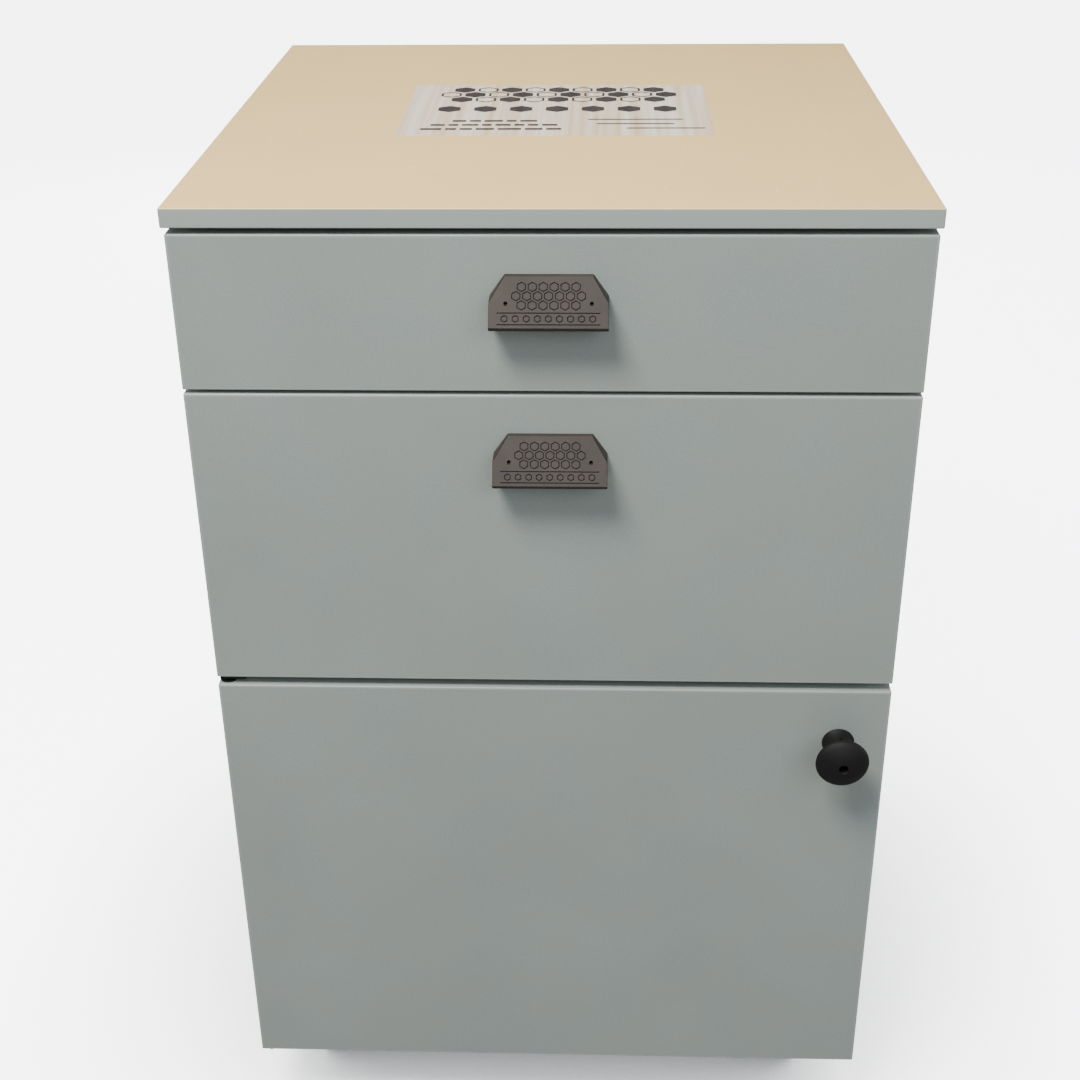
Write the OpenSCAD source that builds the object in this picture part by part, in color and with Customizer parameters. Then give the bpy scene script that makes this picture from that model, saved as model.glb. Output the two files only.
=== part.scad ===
// Rolling pedestal cabinet: two drawers on three-part runners over a cupboard with a pivot-hung door,
// on four twin-wheel swivel casters. +X is to the right seen from the front, the fronts face -Y,
// and the origin is on the floor under the middle of the whole outline.

/* [Cabinet] */
// Overall width of the top and the carcass
case_w = 450; // [370:1:600]
// Depth of the top from its front edge to its back edge
case_d = 460; // [380:1:700]
// Height from the floor to the upper face of the top
case_h = 720; // [600:1:870]
// Thickness of the carcass boards
board_t = 16; // [15:0.5:22]
// Thickness of the top
top_t = 12; // [10:0.5:25]
// How far the top stands ahead of the fronts
top_lip = 2; // [0:0.5:15]

/* [Fronts] */
// Thickness of the drawer fronts and the door
front_t = 16; // [16:0.5:22]
// How far each front stops short of the side of the cabinet
side_reveal = 1.5; // [1:0.5:3]
// Gap between the carcass edges and the backs of the fronts
front_clear = 3; // [3:0.5:5]
// Gap between the top and the upper drawer front
top_gap = 4; // [3:0.5:8]
// Gap between the two drawer fronts
front_gap = 2.5; // [2:0.5:5]
// Gap between the lower drawer front and the door
door_gap = 6; // [6:0.5:12]
// Gap between the foot of the door and the underside of the carcass
door_lift = 2; // [2:0.5:5]
// Height of the upper drawer front
upper_front_h = 97.5; // [80:0.5:120]
// Height of the lower drawer front
lower_front_h = 204; // [140:0.5:250]

/* [Drawer boxes] */
// Thickness of the sides and the back of a drawer box
box_t = 12; // [12:0.5:16]
// Thickness of the bottom of a drawer box
box_bottom_t = 5; // [3:0.5:8]
// Height of the box's lower edge above the front's lower edge
box_rise = 16; // [14:0.5:30]
// Drop of the box's upper edge below the front's upper edge
box_drop = 12; // [10:0.5:40]
// Height of the bottom's groove above the box's lower edge
groove_rise = 10; // [6:0.5:15]
// Depth of the bottom's groove
groove_depth = 6; // [4:0.5:8]

/* [Runners] */
// Height of the member fixed to the cabinet
runner_h = 45; // [45:1:50]
// Space that a runner takes between the cabinet and the drawer
runner_w = 12.7; // [12.7:0.1:14]
// Sheet thickness of the runner members
runner_t = 1.2; // [1:0.1:1.5]
// Height of the runner above the box's lower edge
runner_rise = 6; // [4:0.5:15]
// Step between the lengths that runners are made in
runner_step = 50; // [25:25:50]

/* [Pulls] */
// Width of a pull across its lower edge
pull_w = 70; // [62:1:120]
// Width of a pull across its upper edge
pull_top_w = 52; // [40:1:60]
// Height of a pull
pull_h = 28; // [26:1:40]
// How far the lower edge of a pull stands proud
pull_d = 21.5; // [18:0.5:30]
// How far the upper edge of a pull stands proud
pull_top_d = 4; // [3:0.5:6]
// Wall thickness of a pull
pull_wall = 2.5; // [2:0.5:3]
// Distance between the two screws of a pull
pull_screw_gap = 50; // [40:1:52]
// Drop of the upper pull below its front's upper edge
upper_pull_drop = 23.5; // [15:0.5:30]
// Drop of the lower pull below its front's upper edge
lower_pull_drop = 25; // [15:0.5:60]

/* [Knob and latch] */
// Diameter of the knob's head
knob_d = 35; // [28:1:45]
// How far the knob stands proud of the door
knob_proud = 32; // [28:1:40]
// Diameter of the knob's foot
knob_foot_d = 21.5; // [20:0.5:26]
// Diameter of the knob's waist
knob_waist_d = 16; // [14:0.5:18]
// Distance from the knob's axis to the right edge of the door
knob_inset = 32.5; // [30:0.5:60]
// Distance from the knob's axis to the upper edge of the door
knob_drop = 40; // [30:1:120]
// Diameter of the latch spindle
spindle_d = 8; // [7:0.5:8]
// Width of the latch cam
cam_w = 12; // [10:0.5:12]
// Thickness of the latch cam and of the strike plate
latch_t = 2; // [1.5:0.5:3]

/* [Door pivots] */
// Distance from the pivot axis to the left edge of the door
pivot_inset = 6; // [6:0.5:7]
// Diameter of the pivot pins
pivot_d = 5; // [4:0.5:5]
// Thickness of the pivot brackets
bracket_t = 1.5; // [1:0.25:1.5]

/* [Shelf] */
// Clear height under the shelf
shelf_rise = 150; // [80:1:170]
// Distance from the carcass's front edge to the shelf
shelf_setback = 20; // [16:1:60]
// Diameter of the shelf pins
shelf_pin_d = 5; // [4:0.5:6]

/* [Casters] */
// Height of a caster from the floor to its plate's upper face
caster_h = 62; // [60:1:80]
// Diameter of a wheel
wheel_d = 50; // [40:1:50]
// Width of a wheel
wheel_w = 14; // [12:0.5:16]
// Distance from each swivel axis to the nearest edges of the cabinet
caster_inset = 56; // [56:1:80]
// Horizontal distance from a swivel axis to its wheel axle
caster_trail = 20; // [18:1:22]
// Side of a caster's square plate
plate_side = 42; // [40:1:50]

/* [Fasteners] */
// Diameter of the wood screws
screw_d = 3.5; // [3:0.5:4]
// Length of the wood screws
screw_l = 12; // [10:1:13]
// Diameter of the cam discs that hold the boards together
disc_d = 15; // [12:1:15]
// Diameter of the bolts that the cam discs draw in
bolt_d = 7; // [6:0.5:7]

/* [Hidden] */
$fn = 64;
running = 0.05;   // radial clearance of shafts, bushes and screws
clear = 0.3;      // gap between faces that pass each other

drawer_names = ["upper", "lower"];
caster_names = ["front_left", "front_right", "rear_left", "rear_right"];
drawer_pieces = ["drawer_front", "drawer_sides", "drawer_back", "drawer_bottom",
                 "drawer_runners", "middle_runners", "pull", "pull_screws"];
caster_pieces = ["caster_hood", "caster_axle", "caster_left_wheel", "caster_right_wheel"];

// Planes of the carcass and the fronts
front_y = (knob_proud - (case_d - top_lip)) / 2;   // outer face of the fronts
front_back_y = front_y + front_t;
edge_y = front_back_y + front_clear;               // front edges of the carcass boards
rear_y = front_y + case_d - top_lip;
back_y = rear_y - board_t;                         // inner face of the back
side_x = case_w / 2;
wall_x = side_x - board_t;                         // inner face of a side
front_x = side_x - side_reveal;                    // side edge of a front
base_z = caster_h;
floor_z = base_z + board_t;
ceiling_z = case_h - top_t;
upper_front_top = ceiling_z - top_gap;
lower_front_top = upper_front_top - upper_front_h - front_gap;
door_top = lower_front_top - lower_front_h - door_gap;
door_foot = base_z + door_lift;
divider_z = door_top + door_gap / 2 - board_t / 2;
shelf_z = floor_z + shelf_rise;

// Drawer boxes and runners, upper drawer first
front_tops = [upper_front_top, lower_front_top];
front_heights = [upper_front_h, lower_front_h];
pull_drops = [upper_pull_drop, lower_pull_drop];
runner_l = floor((back_y - edge_y - 10) / runner_step) * runner_step;
runner_y = edge_y + 2;
box_x = wall_x - runner_w;
box_in_x = box_x - box_t;
box_back_y = front_back_y + runner_l;
function box_foot(i) = front_tops[i] - front_heights[i] + box_rise;
function box_top(i) = front_tops[i] - box_drop;
function runner_z(i) = box_foot(i) + runner_rise + runner_h / 2;
runner_screw_ys = [for (f = [0.1, 0.5, 0.9]) runner_y + f * runner_l];

// Depths of the three nested runner members, measured from the cabinet side
outer_depth = 9.5;
middle_h = runner_h - 7;
middle_start = 3.6;
middle_depth = 7.4;
middle_l = runner_l - 20;
inner_h = middle_h - 8;
inner_depth = 6.7;

// Pull: the face slopes from the upper edge to a lip above the lower edge
pull_lip = 2.5;
pull_slope = (pull_d - pull_top_d) / (pull_h - pull_lip);
pull_shoulder = 13;              // drop of the outline's side corners
pull_screw_drop = 13.5;
pull_screw_grip = 8;
pull_screw_d = 3;
pull_boss_d = 7;

// Knob, spindle and cam
knob_x = front_x - knob_inset;
knob_z = door_top - knob_drop;
knob_rim_low = 22;
knob_rim_high = 25.5;
knob_waist_at = 9;
knob_hole_d = 6;
spindle_grip = 20;
grub_d = 3;
grub_lean = 13;                  // degrees from upright towards the right
dome_rise = knob_proud - knob_rim_high;
dome_r = (pow(knob_d / 2, 2) + dome_rise * dome_rise) / (2 * dome_rise);
cam_reach = wall_x - knob_x - latch_t - 1;
strike_y = edge_y + 10;
cam_y = strike_y + latch_t + 2;
strike_lip = cam_reach - cam_w / 2 + latch_t - 1;
sleeve_d = 12;

// Door pivots
pivot_x = -front_x + pivot_inset;
pivot_y = front_y + front_t / 2;
upper_tab_z = door_top + (door_gap - bracket_t) / 2;
bush_d = 8;
bush_l = 12;
bracket_reach = 4;               // from the pivot axis to the front of a bracket
upper_bracket_x = -wall_x + 45;  // right end of the upper bracket
lower_bracket_y = edge_y + 44;   // back end of the lower bracket

// Casters
kingpin_d = 8;
axle_d = 6;
plate_t = 2.5;
wheel_in_x = 9;                  // inner face of a wheel
hood_gap = 2;
hood_t = 2.5;
axle_z = wheel_d / 2;
axle_half = wheel_in_x + wheel_w - 3;
hood_top = caster_h - plate_t - 1.8;
kingpin_foot = 38;
caster_screw_d = 4;
caster_screw_pitch = plate_side - 10;
kingpin_x = side_x - caster_inset;
caster_places = [[-kingpin_x, front_y + caster_inset], [kingpin_x, front_y + caster_inset],
                 [-kingpin_x, rear_y - caster_inset], [kingpin_x, rear_y - caster_inset]];

// Cam fittings
disc_h = board_t - 3.5;
disc_at = 24;                    // from the joint to the axis of the disc
side_grip = board_t - 5;         // depth of a bolt in a side
top_grip = top_t - 3;            // depth of a bolt in the top
fitting_ys = [edge_y + 95, back_y - 95];

// Shelf pins
pin_peg = 8;
pin_tongue = 9;
pin_tongue_t = 1.5;
shelf_pin_ys = [edge_y + shelf_setback + 40, back_y - 50];

board_colour = [0.60, 0.63, 0.61];
top_colour = [0.84, 0.79, 0.70];
print_colour = [0.30, 0.28, 0.27];
knob_colour = [0.13, 0.13, 0.14];
steel_colour = [0.72, 0.73, 0.74];
caster_colour = [0.12, 0.12, 0.13];
box_colour = [0.88, 0.88, 0.86];

// A block between two corners
module block(low, high) {
    translate(low) cube(high - low);
}

// The children on the right and their mirror image on the left
module both_sides() {
    children();
    mirror([1, 0, 0]) children();
}

// A rod along +X, +Y or -Y from the origin
module x_rod(d, l) { rotate([0, 90, 0]) cylinder(d = d, h = l); }
module y_rod(d, l) { rotate([-90, 0, 0]) cylinder(d = d, h = l); }
module out_rod(d, l) { rotate([90, 0, 0]) cylinder(d = d, h = l); }

// A countersunk screw along +Z, its head's face at the origin, and the hole it sits in
module screw(d, l, head_h) {
    cylinder(d = d, h = l);
    cylinder(d1 = d + 2 * head_h, d2 = d, h = head_h);
}
module screw_hole(d, l, head_h) {
    hole_d = d + 2 * running;
    cylinder(d = hole_d, h = l + clear);
    cylinder(d1 = hole_d + 2 * head_h, d2 = hole_d, h = head_h);
}

// Places of the wood screws; each child points +Z into the board
module at_runner_screws() {
    both_sides() for (i = [0, 1]) for (y = runner_screw_ys)
        translate([wall_x - runner_t, y, runner_z(i)]) rotate([0, 90, 0]) children();
}
module at_upper_bracket_screws() {
    for (x = [upper_bracket_x - 8, upper_bracket_x - 28])
        translate([x, edge_y - bracket_t, door_top + door_gap / 2]) rotate([-90, 0, 0]) children();
}
module at_lower_bracket_screws() {
    for (y = [lower_bracket_y - 8, lower_bracket_y - 32])
        translate([-(side_x + wall_x) / 2, y, base_z - bracket_t]) children();
}
module at_strike_screws() {
    for (z = [knob_z - 8, knob_z + 8])
        translate([wall_x - latch_t, strike_y + 20, z]) rotate([0, 90, 0]) children();
}
module at_caster_screws() {
    for (p = caster_places) for (a = [-1, 1]) for (b = [-1, 1])
        translate([p.x + a * caster_screw_pitch / 2, p.y + b * caster_screw_pitch / 2, caster_h - plate_t])
            children();
}
module at_shelf_pins() {
    both_sides() for (y = shelf_pin_ys) translate([wall_x, y, shelf_z]) children();
}

// Board joints: +X runs from the joint into the board that the bolt is screwed into
module at_panel_joints() {
    both_sides() for (z = [base_z + board_t / 2, divider_z + board_t / 2]) for (y = fitting_ys)
        translate([wall_x, y, z]) children();
}
module at_top_joints() {
    both_sides() for (y = fitting_ys)
        translate([side_x - board_t / 2, y, ceiling_z]) mirror([1, 0, 0]) rotate([0, -90, 0]) children();
}
module fitting_bolt(grip) {
    tip = disc_at - disc_d / 2 - clear;
    translate([-tip, 0, 0]) x_rod(bolt_d, tip + grip);
}
module fitting_bolt_hole(grip) {
    x_rod(bolt_d + 2 * running, grip + clear);
    translate([-disc_at, 0, 0]) x_rod(bolt_d + 1, disc_at);
}
module fitting_disc(extra = 0) {
    translate([-disc_at, 0, -board_t / 2]) cylinder(d = disc_d + 2 * extra, h = disc_h + extra);
}

// ---- Carcass ----

module top_panel() {
    color(top_colour) difference() {
        block([-side_x, front_y - top_lip, ceiling_z], [side_x, rear_y, case_h]);
        at_top_joints() fitting_bolt_hole(top_grip);
    }
}

module side_panel(s) {
    color(board_colour) difference() {
        block([s > 0 ? wall_x : -side_x, edge_y, base_z], [s > 0 ? side_x : -wall_x, rear_y, ceiling_z]);
        at_runner_screws() screw_hole(screw_d, screw_l, runner_t);
        if (s > 0) at_strike_screws() screw_hole(screw_d, screw_l, latch_t);
        else at_lower_bracket_screws() screw_hole(screw_d, screw_l, bracket_t);
        at_shelf_pins() shelf_pin_hole();
        at_panel_joints() fitting_bolt_hole(side_grip);
        at_top_joints() {
            fitting_bolt_hole(top_grip);
            fitting_disc(running);
        }
    }
}

module level_panel(z) {
    difference() {
        block([-wall_x, edge_y, z], [wall_x, back_y, z + board_t]);
        at_panel_joints() {
            fitting_bolt_hole(side_grip);
            fitting_disc(running);
        }
    }
}

module bottom_panel() {
    color(board_colour) difference() {
        level_panel(base_z);
        at_caster_screws() screw_hole(caster_screw_d, screw_l, plate_t);
    }
}

module divider_panel() {
    color(board_colour) difference() {
        level_panel(divider_z);
        at_upper_bracket_screws() screw_hole(screw_d, screw_l, bracket_t);
    }
}

module back_panel() {
    color(board_colour) block([-wall_x, back_y, base_z], [wall_x, rear_y, ceiling_z]);
}

module shelf() {
    color(board_colour)
        block([-wall_x + 0.5, edge_y + shelf_setback, shelf_z], [wall_x - 0.5, back_y - 2, shelf_z + board_t]);
}

// A shelf pin has a round peg in the side and a flat tongue under the shelf
module shelf_pin() {
    translate([-pin_tongue, 0, -pin_tongue_t - shelf_pin_d / 2]) x_rod(shelf_pin_d, pin_tongue + pin_peg);
    translate([-pin_tongue, -4, -pin_tongue_t]) cube([pin_tongue, 8, pin_tongue_t]);
    translate([-pin_tongue, -1, -pin_tongue_t - shelf_pin_d / 2]) cube([pin_tongue, 2, shelf_pin_d / 2]);
}
module shelf_pin_hole() {
    translate([0, 0, -pin_tongue_t - shelf_pin_d / 2]) x_rod(shelf_pin_d + 2 * running, pin_peg + clear);
}
module shelf_pins() { color(steel_colour) at_shelf_pins() shelf_pin(); }

module cam_discs() {
    color(steel_colour) {
        at_panel_joints() fitting_disc();
        at_top_joints() fitting_disc();
    }
}

module cam_bolts() {
    color(steel_colour) {
        at_panel_joints() fitting_bolt(side_grip);
        at_top_joints() fitting_bolt(top_grip);
    }
}

module carcass_screws() {
    color(steel_colour) {
        at_runner_screws() screw(screw_d, screw_l, runner_t);
        at_upper_bracket_screws() screw(screw_d, screw_l, bracket_t);
        at_lower_bracket_screws() screw(screw_d, screw_l, bracket_t);
        at_strike_screws() screw(screw_d, screw_l, latch_t);
    }
}

// ---- Runners ----

// A channel along +Y whose web stands on the YZ plane and whose flanges point to -X
module channel(l, h, depth) {
    translate([-runner_t, 0, -h / 2]) cube([runner_t, l, h]);
    for (z = [-h / 2, h / 2 - runner_t])
        translate([-depth, 0, z]) cube([depth, l, runner_t]);
}

module cabinet_runners() {
    color(steel_colour) difference() {
        both_sides() for (i = [0, 1])
            translate([wall_x, runner_y, runner_z(i)]) channel(runner_l, runner_h, outer_depth);
        at_runner_screws() screw_hole(screw_d, screw_l, runner_t);
    }
}

module middle_runners(i) {
    color(steel_colour) both_sides()
        translate([wall_x - middle_start, runner_y + 10, runner_z(i)])
            channel(middle_l, middle_h, middle_depth);
}

module drawer_runners(i) {
    color(steel_colour) both_sides()
        translate([box_x, runner_y, runner_z(i)]) mirror([1, 0, 0]) channel(runner_l, inner_h, inner_depth);
}

// ---- Drawers ----

module box_bottom_block(i, extra = 0) {
    z = box_foot(i) + groove_rise;
    block([-box_in_x - groove_depth, front_back_y - groove_depth, z],
          [box_in_x + groove_depth, box_back_y + extra, z + box_bottom_t]);
}

module at_pull(i) {
    translate([0, front_y, front_tops[i] - pull_drops[i]]) children();
}

module at_pull_screws() {
    for (x = [-1, 1] * pull_screw_gap / 2) translate([x, 0, -pull_screw_drop]) children();
}

module drawer_front(i) {
    color(board_colour) difference() {
        block([-front_x, front_y, front_tops[i] - front_heights[i]], [front_x, front_back_y, front_tops[i]]);
        box_bottom_block(i);
        at_pull(i) at_pull_screws() y_rod(pull_screw_d + 2 * running, front_t);
    }
}

module drawer_sides(i) {
    color(box_colour) difference() {
        both_sides() block([box_in_x, front_back_y, box_foot(i)], [box_x, box_back_y, box_top(i)]);
        box_bottom_block(i);
    }
}

module drawer_back(i) {
    color(box_colour)
        block([-box_in_x, box_back_y - box_t, box_foot(i) + groove_rise + box_bottom_t],
              [box_in_x, box_back_y, box_top(i)]);
}

module drawer_bottom(i) { color(box_colour) box_bottom_block(i); }

// ---- Pulls ----

module pull_profile(inner = false) {
    wall = inner ? pull_wall * sqrt(1 + pull_slope * pull_slope) : 0;
    if (inner)
        polygon([[pull_wall, -pull_wall - 1], [pull_top_d + pull_slope * (pull_wall + 1) - wall, -pull_wall - 1],
                 [pull_d - wall, -pull_h + pull_lip], [pull_d - wall, -pull_h - 1], [pull_wall, -pull_h - 1]]);
    else
        polygon([[0, 0], [pull_top_d, 0], [pull_d, -pull_h + pull_lip], [pull_d - 1.5, -pull_h], [0, -pull_h]]);
}

module pull_outline(inset = 0) {
    half = pull_w / 2 - inset;
    top_half = pull_top_w / 2 - inset;
    polygon([[-half, -pull_h - inset], [-half, -pull_shoulder], [-top_half, inset], [top_half, inset],
             [half, -pull_shoulder], [half, -pull_h - inset]]);
}

module pull_form(inner = false) {
    intersection() {
        rotate([90, 0, -90]) linear_extrude(pull_w, center = true) pull_profile(inner);
        rotate([90, 0, 0]) linear_extrude(pull_d) pull_outline(inner ? pull_wall : 0);
    }
}

module pull(i) {
    color(print_colour) at_pull(i) difference() {
        pull_form();
        difference() {
            pull_form(inner = true);
            at_pull_screws() out_rod(pull_boss_d, pull_d);
        }
        at_pull_screws() {
            out_rod(pull_screw_d + 2 * running, pull_screw_grip + clear);
            out_rod(2.4, pull_d);
        }
    }
}

module pull_screws(i) {
    color(steel_colour) at_pull(i) at_pull_screws() {
        translate([0, -pull_screw_grip, 0]) y_rod(pull_screw_d, pull_screw_grip + front_t);
        translate([0, front_t, 0]) y_rod(6, 2);
    }
}

// ---- Door and its pivots ----

module at_knob() { translate([knob_x, front_y, knob_z]) children(); }

module door_panel() {
    color(board_colour) difference() {
        block([-front_x, front_y, door_foot], [front_x, front_back_y, door_top]);
        for (z = [door_foot, door_top - bush_l])
            translate([pivot_x, pivot_y, z]) cylinder(d = bush_d + 2 * running, h = bush_l);
        at_knob() y_rod(sleeve_d + 2 * running, front_t);
    }
}

module pivot_bushes() {
    flange_t = 0.8;
    color(print_colour) translate([pivot_x, pivot_y, 0]) difference() {
        for (z = [door_foot, door_top - bush_l]) {
            translate([0, 0, z]) cylinder(d = bush_d, h = bush_l);
            translate([0, 0, z == door_foot ? z - flange_t : z + bush_l])
                cylinder(d = 2 * pivot_inset - 1, h = flange_t);
        }
        translate([0, 0, door_foot - flange_t]) cylinder(d = pivot_d + 2 * running, h = bush_l + flange_t);
        translate([0, 0, door_top - bush_l]) cylinder(d = pivot_d + 2 * running, h = bush_l + flange_t);
    }
}

module upper_pivot_bracket() {
    color(steel_colour) difference() {
        union() {
            block([pivot_x - 5, pivot_y - bracket_reach, upper_tab_z],
                  [upper_bracket_x, edge_y, upper_tab_z + bracket_t]);
            block([-wall_x + 1, edge_y - bracket_t, divider_z + 1],
                  [upper_bracket_x, edge_y, divider_z + board_t - 1]);
        }
        block([pivot_x + 12, pivot_y - bracket_reach, upper_tab_z],
              [upper_bracket_x, edge_y - bracket_t, upper_tab_z + bracket_t]);
        translate([pivot_x, pivot_y, upper_tab_z]) cylinder(d = pivot_d + 2 * running, h = bracket_t);
        at_upper_bracket_screws() screw_hole(screw_d, screw_l, bracket_t);
    }
}

module lower_pivot_bracket() {
    color(steel_colour) difference() {
        block([pivot_x - 5, pivot_y - bracket_reach, base_z - bracket_t],
              [pivot_x + 12, lower_bracket_y, base_z]);
        translate([pivot_x, pivot_y, base_z - bracket_t]) cylinder(d = pivot_d + 2 * running, h = bracket_t);
        at_lower_bracket_screws() screw_hole(screw_d, screw_l, bracket_t);
    }
}

module pivot_pins() {
    head_h = 1;
    grip = 9;
    color(steel_colour) translate([pivot_x, pivot_y, 0]) {
        translate([0, 0, door_top - grip]) cylinder(d = pivot_d, h = upper_tab_z + bracket_t - door_top + grip);
        translate([0, 0, upper_tab_z + bracket_t]) cylinder(d = pivot_d + 2, h = head_h);
        translate([0, 0, base_z - bracket_t]) cylinder(d = pivot_d, h = bracket_t + door_lift + grip);
        translate([0, 0, base_z - bracket_t - head_h]) cylinder(d = pivot_d + 2, h = head_h);
    }
}

// ---- Latch ----

module strike_plate() {
    half = cam_w / 2 + 6;
    color(steel_colour) difference() {
        union() {
            block([wall_x - latch_t, strike_y, knob_z - half], [wall_x, strike_y + 28, knob_z + half]);
            block([wall_x - strike_lip, strike_y, knob_z - half], [wall_x, strike_y + latch_t, knob_z + half]);
        }
        at_strike_screws() screw_hole(screw_d, screw_l, latch_t);
    }
}

module latch_sleeve() {
    color(steel_colour) at_knob() difference() {
        union() {
            y_rod(sleeve_d, front_t + 1);
            translate([0, front_t, 0]) y_rod(sleeve_d + 6, 1.5);
        }
        y_rod(spindle_d + 2 * running, front_t + 2);
    }
}

module latch_spindle() {
    color(steel_colour) at_knob() difference() {
        translate([0, -spindle_grip, 0]) y_rod(spindle_d, spindle_grip + cam_y - front_y);
        translate([0, cam_y - front_y - 8 - clear, 0]) y_rod(4 + 2 * running, 8 + clear);
    }
}

module latch_cam() {
    tip = cam_reach - cam_w / 2;
    color(steel_colour) translate([knob_x, cam_y + latch_t, knob_z]) rotate([90, 0, 0])
        linear_extrude(latch_t) difference() {
            union() {
                circle(d = cam_w);
                translate([0, -tip]) circle(d = cam_w);
                translate([-cam_w / 2, -tip]) square([cam_w, tip]);
            }
            circle(d = 4 + 2 * running);
        }
}

module latch_cam_screw() {
    color(steel_colour) translate([knob_x, cam_y - 8, knob_z]) {
        y_rod(4, 8 + latch_t);
        translate([0, 8 + latch_t, 0]) y_rod(7.5, 2.2);
    }
}

// ---- Knob ----

// Radius of the knob's neck at a distance from the door
function neck_r(p) = knob_waist_d / 2 + (p < knob_waist_at
    ? (knob_foot_d - knob_waist_d) / 2 * pow((knob_waist_at - p) / knob_waist_at, 2)
    : (knob_d / 2 - 2 - knob_waist_d / 2) * pow((p - knob_waist_at) / (knob_rim_low - knob_waist_at), 2));
// Distance of the dome from the door at a radius; its highest point is the rim of the centre hole
function dome_p(r) = knob_proud + sqrt(dome_r * dome_r - r * r) - sqrt(dome_r * dome_r - pow(knob_hole_d / 2, 2));

module knob_profile() {
    hole_r = knob_hole_d / 2;
    bore_r = spindle_d / 2 + running;
    polygon(concat(
        [[bore_r, clear], [knob_foot_d / 2, clear]],
        [for (p = [1 : 2 : knob_rim_low - 1]) [neck_r(p), p]],
        [[knob_d / 2 - 2, knob_rim_low], [knob_d / 2 - 0.5, knob_rim_low + 0.6],
         [knob_d / 2, knob_rim_low + 1.8], [knob_d / 2, knob_rim_high - 0.8]],
        [for (k = [1 : 10]) let (r = knob_d / 2 - 0.8 - (knob_d / 2 - 0.8 - hole_r) * (k - 1) / 9) [r, dome_p(r)]],
        [[hole_r, spindle_grip + clear], [bore_r, spindle_grip + clear]]));
}

module at_grub() { at_knob() translate([0, -knob_waist_at, 0]) rotate([0, grub_lean, 0]) children(); }

module knob() {
    color(knob_colour) difference() {
        at_knob() rotate([90, 0, 0]) rotate_extrude() knob_profile();
        at_grub() cylinder(d = grub_d + 2 * running, h = knob_foot_d / 2);
    }
}

module knob_grub_screw() {
    color(steel_colour) at_grub() translate([0, 0, spindle_d / 2 + running]) cylinder(d = grub_d, h = 2.5);
}

// ---- Casters ----

module at_caster(i) { translate([caster_places[i].x, caster_places[i].y, 0]) children(); }
module at_casters() { for (i = [0 : 3]) at_caster(i) children(); }

module caster_plates() {
    color(steel_colour) difference() {
        at_casters() translate([-plate_side / 2, -plate_side / 2, caster_h - plate_t])
            cube([plate_side, plate_side, plate_t]);
        at_casters() translate([0, 0, caster_h - plate_t]) cylinder(d = kingpin_d + 2 * running, h = plate_t);
        at_caster_screws() screw_hole(caster_screw_d, screw_l, plate_t);
    }
}

module caster_kingpins() {
    color(steel_colour) at_casters() {
        translate([0, 0, kingpin_foot]) cylinder(d = kingpin_d, h = caster_h - kingpin_foot);
        translate([0, 0, hood_top + clear]) cylinder(d = 14, h = caster_h - plate_t - hood_top - clear);
    }
}

module caster_screws() {
    color(steel_colour) at_caster_screws() screw(caster_screw_d, screw_l, plate_t);
}

module caster_hood(i) {
    shell_r = wheel_d / 2 + hood_gap;
    half = wheel_in_x + wheel_w;
    web = 3;
    color(caster_colour) at_caster(i) difference() {
        union() {
            translate([0, 0, kingpin_foot - 2]) cylinder(d = 16, h = hood_top - kingpin_foot + 2);
            translate([0, caster_trail, axle_z]) {
                translate([-wheel_in_x + 0.5, 0, 0]) x_rod(14, 2 * wheel_in_x - 1);
                difference() {
                    translate([-half, 0, 0]) x_rod(2 * (shell_r + hood_t), 2 * half);
                    translate([web, 0, 0]) x_rod(2 * shell_r, half);
                    translate([-web - half, 0, 0]) x_rod(2 * shell_r, half);
                    translate([-half, -wheel_d, -wheel_d - 4]) cube([2 * half, 2 * wheel_d, wheel_d]);
                }
            }
        }
        translate([0, 0, kingpin_foot - 1]) cylinder(d = kingpin_d + 2 * running, h = caster_h - kingpin_foot);
        translate([-wheel_in_x, caster_trail, axle_z]) x_rod(axle_d + 2 * running, 2 * wheel_in_x);
    }
}

module caster_axle(i) {
    color(steel_colour) at_caster(i) translate([-axle_half, caster_trail, axle_z]) x_rod(axle_d, 2 * axle_half);
}

module caster_wheel(i, s) {
    bore_r = axle_d / 2 + running;
    bore_l = axle_half - wheel_in_x + clear;
    r = wheel_d / 2;
    color(caster_colour) at_caster(i) translate([0, caster_trail, axle_z]) mirror([s < 0 ? 1 : 0, 0, 0])
        translate([wheel_in_x, 0, 0]) rotate([0, 90, 0]) rotate_extrude()
            polygon([[bore_r, 0], [r - 2, 0], [r - 0.6, 0.6], [r, 2], [r, wheel_w - 2], [r - 0.6, wheel_w - 0.6],
                     [r - 2, wheel_w], [r - 6, wheel_w], [r - 7, wheel_w - 1], [0, wheel_w - 1],
                     [0, bore_l], [bore_r, bore_l]]);
}

// ---- Drawing ----

top_panel();
side_panel(-1);  // left_side_panel
side_panel(1);  // right_side_panel
bottom_panel();
back_panel();
divider_panel();
shelf();
shelf_pins();
cam_discs();
cam_bolts();
cabinet_runners();
carcass_screws();
upper_pivot_bracket();
lower_pivot_bracket();
pivot_pins();
strike_plate();
caster_plates();
caster_kingpins();
caster_screws();
door_panel();
pivot_bushes();
latch_sleeve();
knob();
latch_spindle();
latch_cam();
latch_cam_screw();
knob_grub_screw();
for (i = [0, 1]) {
    drawer_front(i);
    drawer_sides(i);
    drawer_back(i);
    drawer_bottom(i);
    drawer_runners(i);
    middle_runners(i);
    pull(i);
    pull_screws(i);
}
for (i = [0 : 3]) {
    caster_hood(i);
    caster_axle(i);
    caster_wheel(i, -1);
    caster_wheel(i, 1);
}
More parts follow.
